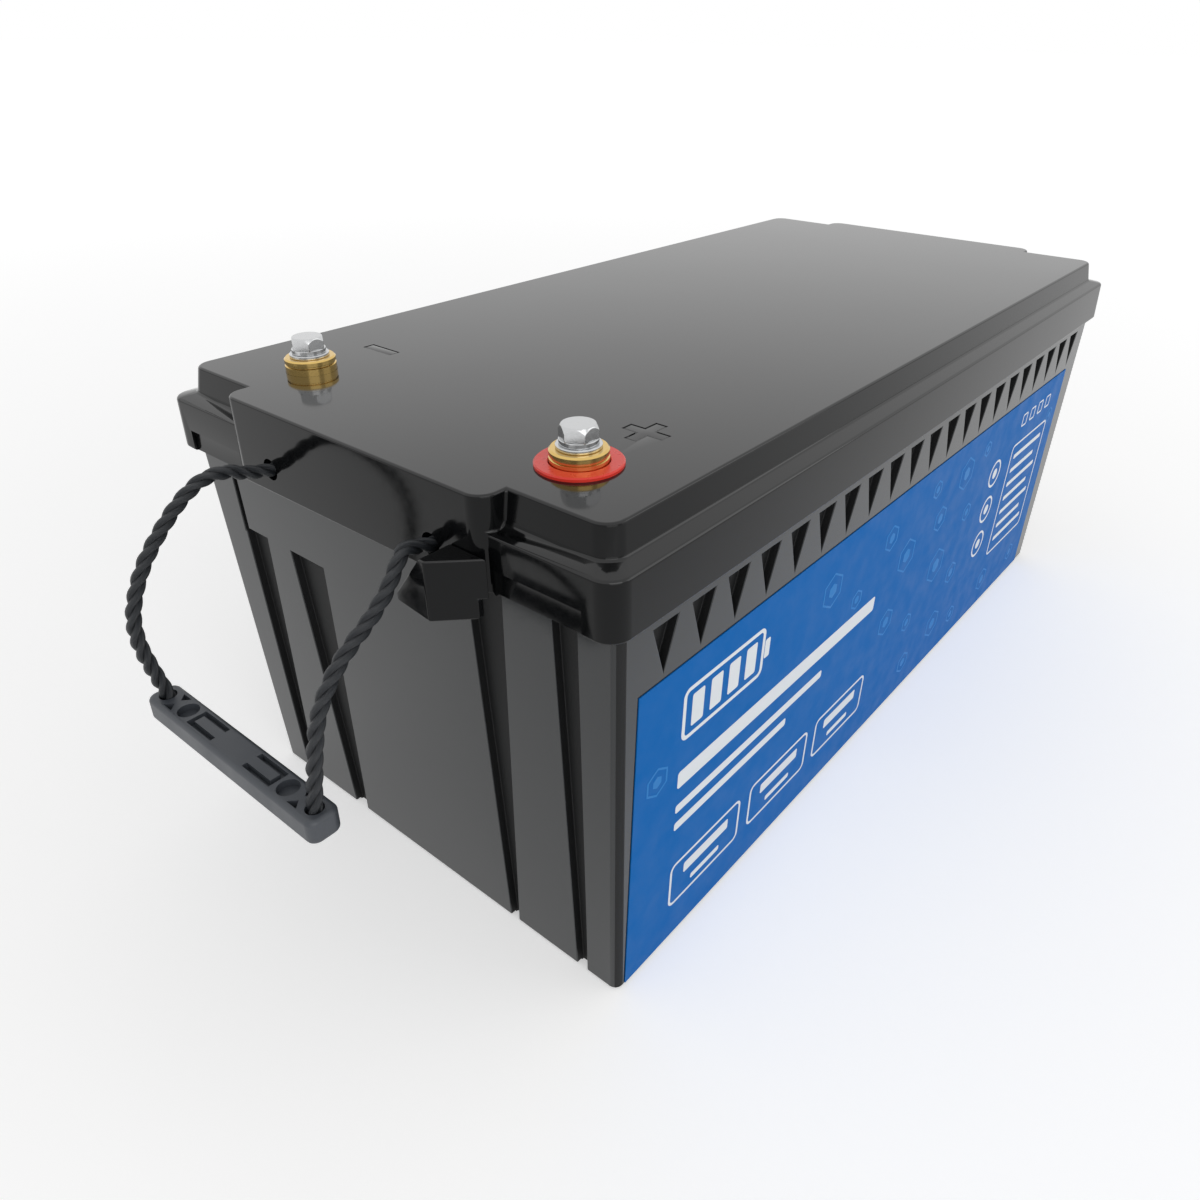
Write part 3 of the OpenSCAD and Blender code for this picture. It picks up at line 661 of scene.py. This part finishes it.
def threaded_shank(y):
    bpy.ops.object.select_all(action="DESELECT")
    bpy.ops.mesh.primitive_cylinder_add(vertices=40, radius=SHANK_R * MM, depth=SHANK_L * MM,
                                        location=mm(TERMINAL_X, y, HEAD_LOW - SHANK_L / 2))
    shank = bpy.context.object
    bpy.ops.object.transform_apply(location=True, rotation=True, scale=True)
    bpy.ops.object.mode_set(mode="EDIT")
    bpy.ops.mesh.select_mode(type="EDGE")
    bpy.ops.mesh.select_all(action="DESELECT")
    work = bmesh.from_edit_mesh(shank.data)
    for edge in work.edges:
        edge.select_set(abs(edge.verts[0].co.z - edge.verts[1].co.z) > 1 * MM)
    bmesh.update_edit_mesh(shank.data)
    bpy.ops.mesh.subdivide(number_cuts=SHANK_CUTS)
    bpy.ops.object.mode_set(mode="OBJECT")
    axis = mm(TERMINAL_X, y, 0)
    low = HEAD_LOW - SHANK_L
    for vertex in shank.data.vertices:
        flat = Vector((vertex.co.x - axis.x, vertex.co.y - axis.y, 0))
        z = vertex.co.z / MM
        phase = (z / THREAD_PITCH - math.atan2(flat.y, flat.x) / (2 * math.pi)) % 1
        depth = THREAD_DEPTH * abs(2 * phase - 1)
        if z < low + START_CHAMFER:
            depth = max(depth, START_CHAMFER - (z - low))
        if z > HEAD_LOW - NECK_L:
            depth = NECK_DEPTH
        flat.normalize()
        vertex.co.x = axis.x + flat.x * (SHANK_R - depth) * MM
        vertex.co.y = axis.y + flat.y * (SHANK_R - depth) * MM
    return shank


print("Turns of thread on a shank:", SHANK_L / THREAD_PITCH)

# %% [markdown]
# A bolt is forged in one, so head and shank are joined to one piece. A tiny radius on the head's
# edges catches the light. It can only go on the head, because it would blur the thread.

# %% Terminal bolts
bolts = []
for pole, y in TERMINALS.items():
    bolt = bolt_head(pole, y)
    shank = threaded_shank(y)
    select_only(bolt)
    shank.select_set(True)
    bpy.ops.object.join()
    soften(bolt, 0.18, segments=2, angle=20, where=lambda m: m.z > HEAD_LOW - 0.01)
    finish_piece(bolt, f"{pole}_bolt", body=f"{pole}_fastener", slot="fastener_steel", angle=30)
    bolts.append(bolt)

# %% [markdown]
# The label is a printed film. Its print is built of flat shapes of 0.06 mm, thicker than real ink, so
# that film and ink don't flicker into each other. Plain bars, frames and rings stand for words and
# signs, and pale hexagons fill the ground. Each shape starts as a plane whose corners are bevelled.

# %% A printed shape
LABEL_T = 0.4
INK_T = 0.06
CASE_HALF_W = 130.0
SIDE_DRAFT = 9.0
wall_matrix = Matrix.Translation(mm(0, SIDE_DRAFT - CASE_HALF_W, 0)) @ Matrix.Rotation(
    math.radians(90) + math.atan(SIDE_DRAFT / CASE_TOP), 4, "X")


def printed(name, x, z, w, h, corner=None, line=0.0, sides=0):
    """A flat shape of w by h mm on the label, centred x mm along it and z mm up the wall."""
    bpy.ops.object.select_all(action="DESELECT")
    if sides:
        bpy.ops.mesh.primitive_circle_add(vertices=sides, radius=0.5, fill_type="NGON")
    else:
        bpy.ops.mesh.primitive_plane_add(size=1)
    shape = bpy.context.object
    shape.name = name
    shape.scale = (w * MM, h * MM, 1)
    bpy.ops.object.transform_apply(location=True, rotation=True, scale=True)
    bpy.ops.object.mode_set(mode="EDIT")
    bpy.ops.mesh.select_all(action="SELECT")
    if corner:
        bpy.ops.mesh.bevel(offset=corner * MM, segments=5, affect="VERTICES")
    if line:
        bpy.ops.mesh.inset(thickness=line * MM)
        bpy.ops.mesh.delete(type="FACE")
    bpy.ops.mesh.select_all(action="SELECT")
    bpy.ops.mesh.extrude_region_move(TRANSFORM_OT_translate={"value": (0, 0, INK_T * MM)})
    bpy.ops.mesh.select_all(action="SELECT")
    bpy.ops.mesh.normals_make_consistent(inside=False)
    bpy.ops.object.mode_set(mode="OBJECT")
    shape.data.transform(wall_matrix @ Matrix.Translation(mm(x, z, LABEL_T)))
    return shape


def join_print(shapes, name):
    select_only(shapes[0])
    for shape in shapes[1:]:
        shape.select_set(True)
    bpy.ops.object.join()
    piece = bpy.context.object
    piece.name = name
    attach(piece, "battery")
    print(name, "has", len(piece.data.polygons), "faces")
    return piece


# %% [markdown]
# At the terminal end stand a battery sign of a frame, a stub and four bars, three bars for the lines
# of a heading, and a row of three boxes with two lines each.

# %% White print at the terminal end
BOX_X = -187
BOX_PITCH = 62
white = [printed("ink", -185, 131, 58, 26, corner=4, line=2), printed("ink", -153.5, 131, 4, 10, corner=1)]
white += [printed("ink", -204 + 12.6 * i, 131, 8, 16, corner=1) for i in range(4)]
white += [
    printed("ink", -128, 98, 172, 9, corner=1.5), printed("ink", -154, 82, 120, 4.5, corner=1.2),
    printed("ink", -170, 72, 88, 4.5, corner=1.2)]
for i in range(3):
    white += [
        printed("ink", BOX_X + BOX_PITCH * i, 35, 54, 26, corner=4, line=1.4),
        printed("ink", BOX_X + BOX_PITCH * i, 39.5, 34, 6, corner=1),
        printed("ink", BOX_X + BOX_PITCH * i, 29, 22, 3, corner=1)]
print("White shapes at the terminal end:", len(white))

# %% [markdown]
# At the other end a frame holds a table of seven lines, every second one shorter. Three rings stand
# in a column beside it and four small squares in a row above it.

# %% White print at the other end
TABLE_X = 180
RING_X = 120
white.append(printed("ink", TABLE_X, 84, 66, 84, corner=4, line=1.4))
white += [
    printed("ink", TABLE_X - 4 * (i % 2), 116 - 10.5 * i, 52 - 8 * (i % 2), 3.2, corner=1)
    for i in range(7)]
for i in range(3):
    white += [
        printed("ink", RING_X, 116 - 26 * i, 19, 19, line=1.6, sides=40),
        printed("ink", RING_X, 116 - 26 * i, 7, 7, sides=24)]
white += [printed("ink", 158 + 15 * i, 142, 9, 9, corner=1.6, line=1.1) for i in range(4)]
white_print = join_print(white, "label_white_print")

# %% [markdown]
# The pale hexagons are scattered one by one, each with its place along and up the wall and its size.
# Each is an outline round a small filled one.

# %% Pale hexagons
HEXAGONS = [
    (-228, 108, 15), (-96, 132, 20), (-66, 112, 12), (-34, 134, 16), (-8, 112, 22), (20, 142, 12),
    (34, 118, 17), (64, 136, 22), (80, 104, 13), (-20, 74, 18), (14, 56, 13), (44, 82, 24),
    (76, 62, 16), (62, 30, 20), (22, 22, 15), (96, 20, 13), (150, 22, 18), (206, 20, 14),
    (94, 142, 11), (216, 128, 12)]
CORE_SHARE = 0.4
pale = []
for x, z, size in HEXAGONS:
    core = size * CORE_SHARE
    pale += [
        printed("ink", x, z, size, size, line=1.0, sides=6), printed("ink", x, z, core, core, sides=6)]
pale_print = join_print(pale, "label_pale_print")

# %% [markdown]
# Materials are made of one Principled shader each. One helper adds a node with its settings.

# %% Material helpers
def add_node(tree, kind, settings=None, **inputs):
    node = tree.nodes.new(kind)
    for name, value in (settings or {}).items():
        setattr(node, name, value)
    for name, value in inputs.items():
        socket = node.inputs[name.replace("_", " ")]
        if isinstance(value, bpy.types.NodeSocket):
            tree.links.new(value, socket)
        else:
            socket.default_value = value
    return node


def new_material(name, colour, roughness, **sockets):
    material = bpy.data.materials.new(name)
    material.use_nodes = True
    tree = material.node_tree
    shader = tree.nodes["Principled BSDF"]
    shader.inputs["Base Color"].default_value = hex_colour(colour)
    shader.inputs["Roughness"].default_value = roughness
    for socket, value in sockets.items():
        shader.inputs[socket.replace("_", " ")].default_value = value
    return material, tree, shader


def place(tree, scale=(1, 1, 1)):
    coordinates = add_node(tree, "ShaderNodeTexCoord")
    mapping = add_node(tree, "ShaderNodeMapping", Vector=coordinates.outputs["Object"], Scale=scale)
    return mapping.outputs["Vector"]


def bump(tree, shader, height, strength, distance):
    node = add_node(tree, "ShaderNodeBump", Height=height, Strength=strength, Distance=distance)
    tree.links.new(node.outputs["Normal"], shader.inputs["Normal"])


def vary(tree, source, target, low, high):
    """Turns a 0.3 to 0.7 pattern into values from low to high and feeds them to a socket."""
    spread = add_node(tree, "ShaderNodeMapRange", Value=source,
                      From_Min=0.3, From_Max=0.7, To_Min=low, To_Max=high)
    tree.links.new(spread.outputs["Result"], target)


def coat_with(piece, *materials):
    piece.data.materials.clear()
    for material in materials:
        piece.data.materials.append(material)


def repeats_every(size):
    """The texture scale for a pattern whose grains are about size mm apart."""
    return 1 / (size * MM)


print("A grain of 1 mm needs a texture scale of", repeats_every(1.0))

# %% [markdown]
# Gloss ABS: the moulding copies the polish of its steel mould. It is near black, its reflections
# are clear, and a faint waviness from the shrinking plastic bends them a little. The waves are about
# 11 cm long. Patches of about 4 mm are a little duller, which keeps the gloss from looking like glass.

# %% Gloss ABS
def gloss_abs(name, colour, roughness, wave):
    material, tree, shader = new_material(name, colour, roughness, IOR=1.5)
    spot = place(tree)
    slow = add_node(tree, "ShaderNodeTexNoise", Vector=spot, Scale=repeats_every(111.11), Detail=1.0,
                    Roughness=0.4)
    fine = add_node(tree, "ShaderNodeTexNoise", Vector=spot, Scale=repeats_every(3.846), Detail=2.0,
                    Roughness=0.5)
    vary(tree, fine.outputs["Fac"], shader.inputs["Roughness"], roughness - 0.01, roughness + 0.03)
    bump(tree, shader, slow.outputs["Fac"], wave, 0.004)
    return material


case_abs = gloss_abs("gloss_abs_case", "232628", 0.14, 0.1)
lid_abs = gloss_abs("gloss_abs_lid", "0d0e0f", 0.07, 0.04)
print("Gloss finishes:", case_abs.name, "and", lid_abs.name)

# %% [markdown]
# The top of the lid keeps the mirror gloss. The walls get a darker copy of it with less reflection:
# painted shade, so that they reflect less of the white room and look deeper black.

# %% Lid walls
PAINTED_SHADE_WALL_SLOPE = 0.6
# A darker, less reflective copy of the lid's gloss: painted shade for the walls.
lid_wall_painted_shade_abs = gloss_abs("gloss_abs_lid_walls_painted_shade", "0b0c0d", 0.1, 0.04)
lid_wall_painted_shade_abs.node_tree.nodes["Principled BSDF"].inputs["Specular IOR Level"].default_value = 0.2


def coat_lid_moulding(piece):
    coat_with(piece, lid_abs, lid_wall_painted_shade_abs)
    # Steep faces of the lid and the guard take the painted shade of the walls.
    for face in piece.data.polygons:
        face.material_index = 1 if abs(face.normal.z) < PAINTED_SHADE_WALL_SLOPE else 0
    return sum(face.material_index for face in piece.data.polygons)


print("Wall faces:", coat_lid_moulding(lid), "on the lid,", coat_lid_moulding(guard), "on the guard")

# %% [markdown]
# The floors of the pockets and grooves come from parts of the mould that nobody polishes. They
# are spark eroded, so the plastic there is matt. Their colour is darker than the case's gloss walls:
# painted shade for the shade in the recesses. The real grain is about 0.05 mm and too fine to show,
# so it is drawn near 1 mm.

# %% Spark-eroded ABS with painted shade in the recesses
def eroded_matt_abs_painted_shade():
    # The dark base colour is painted shade; the roughness and the grain are the real matt finish.
    material, tree, shader = new_material("spark_eroded_matt_abs_painted_shade", "0a0b0c", 0.62, IOR=1.54)
    shader.inputs["Specular IOR Level"].default_value = 0.3
    grain = add_node(tree, "ShaderNodeTexNoise", Vector=place(tree), Scale=repeats_every(0.909), Detail=2.0)
    bump(tree, shader, grain.outputs["Fac"], 0.3, 0.0003)
    return material


END_DRAFT = 7.0
CASE_HALF_L = 254.0
RECESS_FROM = 0.7
RECESS_TO = 4.6
POCKETS_FROM_Z = 150
coat_with(case, case_abs, eroded_matt_abs_painted_shade())
matt_painted_shade_faces = 0
for face in case.data.polygons:
    centre = face.center / MM
    if centre.z > CASE_TOP - 0.5:
        continue
    end_depth = CASE_HALF_L - END_DRAFT * (1 - centre.z / CASE_TOP) - abs(centre.x)
    side_depth = CASE_HALF_W - SIDE_DRAFT * (1 - centre.z / CASE_TOP) - abs(centre.y)
    in_groove = RECESS_FROM < end_depth < RECESS_TO
    in_pocket = RECESS_FROM < side_depth < RECESS_TO and POCKETS_FROM_Z < centre.z
    # These faces take the matt finish with its painted shade.
    if in_groove or in_pocket:
        face.material_index = 1
        matt_painted_shade_faces += 1
print("Matt faces in the recesses:", matt_painted_shade_faces)

# %% [markdown]
# The grip is satin moulded plastic: a greyer black, whose sparked grain spreads the light. Hands
# polish it in patches of about 17 mm. The grain is drawn at 0.7 mm, coarser than the real one.

# %% Satin grip plastic
def satin_plastic():
    material, tree, shader = new_material("satin_moulded_plastic", "484c52", 0.42, IOR=1.5)
    spot = place(tree)
    grain = add_node(tree, "ShaderNodeTexNoise", Vector=spot, Scale=repeats_every(0.7143), Detail=2.0)
    wear = add_node(tree, "ShaderNodeTexNoise", Vector=spot, Scale=repeats_every(16.667), Detail=3.0)
    vary(tree, wear.outputs["Fac"], shader.inputs["Roughness"], 0.36, 0.5)
    bump(tree, shader, grain.outputs["Fac"], 0.12, 0.0003)
    return material


grip_plastic = satin_plastic()
for grip in grips:
    coat_with(grip, grip_plastic)
print("Satin grips:", len(grips))

# %% [markdown]
# The rope is dyed polypropylene: many fine yarns lie along each strand and shine a little. They are
# drawn as bands in the rope's own UV map, about 1 mm wide and leaning across the strand.

# %% Rope yarn
def rope_yarn():
    material, tree, shader = new_material("twisted_polypropylene", "2b2e32", 0.38, IOR=1.49)
    uv = add_node(tree, "ShaderNodeUVMap", {"uv_map": "rope"})
    lay = add_node(tree, "ShaderNodeMapping", Vector=uv.outputs["UV"], Scale=(160.0, 14.0, 1.0),
                   Rotation=(0.0, 0.0, 0.35))
    yarn = add_node(tree, "ShaderNodeTexWave", {"wave_type": "BANDS", "bands_direction": "Y"},
                    Vector=lay.outputs["Vector"], Scale=0.8, Distortion=1.5, Detail=2.0)
    bump(tree, shader, yarn.outputs["Fac"], 0.5, 0.0005)
    return material


yarn = rope_yarn()
for rope in ropes:
    coat_with(rope, yarn)
print("Ropes with a yarn finish:", len(ropes))

# %% [markdown]
# The other finishes differ in colour, roughness, metal and grain. Turned and rolled metals are clear
# mirrors with a faint grain, films and moulded parts are satin, and foam, rubber and board spread
# the light. One helper makes them all, with a grain given in millimetres.

# %% One helper for the plain finishes
def plain_finish(name, colour, roughness, grain=1.6667, depth=0.05, **sockets):
    material, tree, shader = new_material(name, colour, roughness, **sockets)
    spot = place(tree)
    texture = add_node(tree, "ShaderNodeTexNoise", Vector=spot, Scale=repeats_every(grain), Detail=3.0)
    vary(tree, texture.outputs["Fac"], shader.inputs["Roughness"],
         roughness * 0.85, min(1.0, roughness * 1.2))
    bump(tree, shader, texture.outputs["Fac"], depth, 0.0003)
    return material


INK_GRAIN = 8.333
white_ink = plain_finish("white_ink", "eef2f5", 0.5, grain=INK_GRAIN, depth=0.02, Specular_IOR_Level=0.2)
pale_ink = plain_finish("pale_blue_ink", "2d83cc", 0.5, grain=INK_GRAIN, depth=0.02,
                        Specular_IOR_Level=0.15)
coat_with(white_print, white_ink)
coat_with(pale_print, pale_ink)
print("Inks:", white_ink.name, "and", pale_ink.name)

# %% [markdown]
# What they give the eye, from the outside in: a flat deep blue film, a bright red ring, a warm brass
# mirror, white steel mirrors, and a dull black rope end. Inside are greyish zinc, blue film on the
# cells, cream sheets, soft dark foam, red bare copper, an amber heater, and blue and green boards.

# %% A finish for each slot
finishes = {
    "seal": plain_finish("nitrile_rubber", "202020", 0.8),
    "label": plain_finish("printed_vinyl_film", "0068b7", 0.45, grain=11.11, depth=0.03,
                          Specular_IOR_Level=0.07),
    "ring_red": plain_finish("red_moulded_nylon", "ee3a2c", 0.3),
    "terminal_brass": plain_finish("turned_brass", "d9b871", 0.18, Metallic=1.0),
    "fastener_steel": plain_finish("stainless_steel", "c9cacb", 0.2, Metallic=1.0),
    "zinc_steel": plain_finish("zinc_plated_steel", "b9bcbf", 0.35, Metallic=1.0),
    "cell_wrap": plain_finish("blue_film_wrap", "2b6cb0", 0.35),
    "insulation": plain_finish("glass_fibre_sheet", "d8d2b8", 0.6),
    "foam": plain_finish("closed_cell_foam", "34373a", 0.9),
    "copper": plain_finish("bare_copper", "c77b4a", 0.3, Metallic=1.0),
    "heat_plate": plain_finish("milled_aluminium", "b5b7ba", 0.35, Metallic=1.0),
    "heater": plain_finish("polyimide_film", "b5792c", 0.3),
    "radio": plain_finish("blue_solder_mask", "27508c", 0.4),
    "board": plain_finish("green_solder_mask", "0f5a34", 0.4),
    "cable_red": plain_finish("red_silicone_cable", "9c1d17", 0.5),
    "cable_black": plain_finish("black_silicone_cable", "18191a", 0.5),
    "rope": plain_finish("fused_rope_end", "25282c", 0.55, grain=1.4286, depth=0.6),
    "grip_black": grip_plastic,
    "case_black": case_abs,
    "lid_black": lid_abs,
}
slots = {s["node"]: s["material_slot"] for s in frame["record"]["subparts"]}
for name, node in nodes.items():
    for material_slot in node.material_slots:
        material_slot.material = finishes[slots[name]]
for pole in TERMINALS:
    bush, washer, split = turned_parts[pole]
    coat_with(bush, finishes["terminal_brass"])
    coat_with(washer, finishes["fastener_steel"])
    coat_with(split, finishes["fastener_steel"])
for bolt in bolts:
    coat_with(bolt, finishes["fastener_steel"])
coat_with(ring, finishes["ring_red"])
print("Finished nodes:", len(nodes))

# %% [markdown]
# A pale floor and a white room. The floor takes the battery's soft shadow, and adds a little of its
# own white to what the camera and the gloss see, so that it meets the white room without a line.

# %% Floor
bpy.ops.object.select_all(action="DESELECT")
bpy.ops.mesh.primitive_plane_add(size=40, location=(0, 0, 0))
floor = bpy.context.object
floor.name = "floor"
print("Floor is", tuple(round(side) for side in floor.dimensions[:2]), "metres wide")

# %% [markdown]
# The glow must not light the battery, or its dark sides would turn grey. So it is switched on only
# for rays from the camera and for reflections, and off for the light that falls on the pieces.

# %% Light that only the camera and the gloss see
ROOM_LIGHT = 0.55
FLOOR_GLOW_NEAR = 0.38
FLOOR_GLOW_FAR = 0.55
GLOW_GROWS_FROM = 0.6
GLOW_GROWS_TO = 2.5


def seen_by_camera_or_gloss(tree):
    path = add_node(tree, "ShaderNodeLightPath")
    total = path.outputs["Is Camera Ray"]
    for ray in ("Is Glossy Ray", "Is Transmission Ray"):
        both = add_node(tree, "ShaderNodeMath", {"operation": "MAXIMUM"})
        tree.links.new(total, both.inputs[0])
        tree.links.new(path.outputs[ray], both.inputs[1])
        total = both.outputs[0]
    return total


floor_material, floor_tree, floor_shader = new_material("pale_floor", "f4f4f4", 0.9)
floor_shader.inputs["Specular IOR Level"].default_value = 0.0
floor_shader.inputs["Emission Color"].default_value = (1, 1, 1, 1)
away = add_node(floor_tree, "ShaderNodeVectorMath", {"operation": "LENGTH"},
                Vector=add_node(floor_tree, "ShaderNodeTexCoord").outputs["Object"])
far = add_node(floor_tree, "ShaderNodeMapRange", Value=away.outputs["Value"],
               From_Min=GLOW_GROWS_FROM, From_Max=GLOW_GROWS_TO,
               To_Min=FLOOR_GLOW_NEAR, To_Max=FLOOR_GLOW_FAR)
glow = add_node(floor_tree, "ShaderNodeMath", {"operation": "MULTIPLY"})
floor_tree.links.new(seen_by_camera_or_gloss(floor_tree), glow.inputs[0])
floor_tree.links.new(far.outputs["Result"], glow.inputs[1])
floor_tree.links.new(glow.outputs["Value"], floor_shader.inputs["Emission Strength"])
coat_with(floor, floor_material)
print("Floor glow from", FLOOR_GLOW_NEAR, "to", FLOOR_GLOW_FAR)

# %% [markdown]
# The room is plain white. It looks fully white to the camera and the gloss, and lights the battery
# with about half of that, so that the black plastic stays black.

# %% White room
world = bpy.data.worlds.new("white_room")
bpy.context.scene.world = world
world.use_nodes = True
room = world.node_tree
room.nodes.clear()
level = add_node(room, "ShaderNodeMapRange", Value=seen_by_camera_or_gloss(room),
                 To_Min=ROOM_LIGHT, To_Max=1.0)
background = add_node(room, "ShaderNodeBackground", Color=(1, 1, 1, 1), Strength=level.outputs["Result"])
add_node(room, "ShaderNodeOutputWorld", Surface=background.outputs["Background"])
print("Room light on the pieces:", ROOM_LIGHT)

# %% [markdown]
# Two large softboxes stand in front, low enough to light the label wall. A large lamp gives a soft
# edge to its shadow and a wide, calm reflection. The left one is twice as strong as the right one.

# %% Softboxes
LAMP_AIM = Vector((0, 0, 0.1))


def softbox(name, at, size, power):
    bpy.ops.object.light_add(type="AREA", location=at)
    lamp = bpy.context.object
    lamp.name = name
    lamp.data.size = size
    lamp.data.energy = power
    direction = LAMP_AIM - Vector(at)
    lamp.rotation_euler = direction.to_track_quat("-Z", "Y").to_euler()
    print(name, "is", size, "metres wide and has", power, "watts")


softbox("key_softbox", (-1.2, -2.0, 1.1), size=2.0, power=14)
softbox("side_softbox", (1.4, -2.0, 1.0), size=1.8, power=7)
bpy.context.scene.view_settings.view_transform = "Standard"
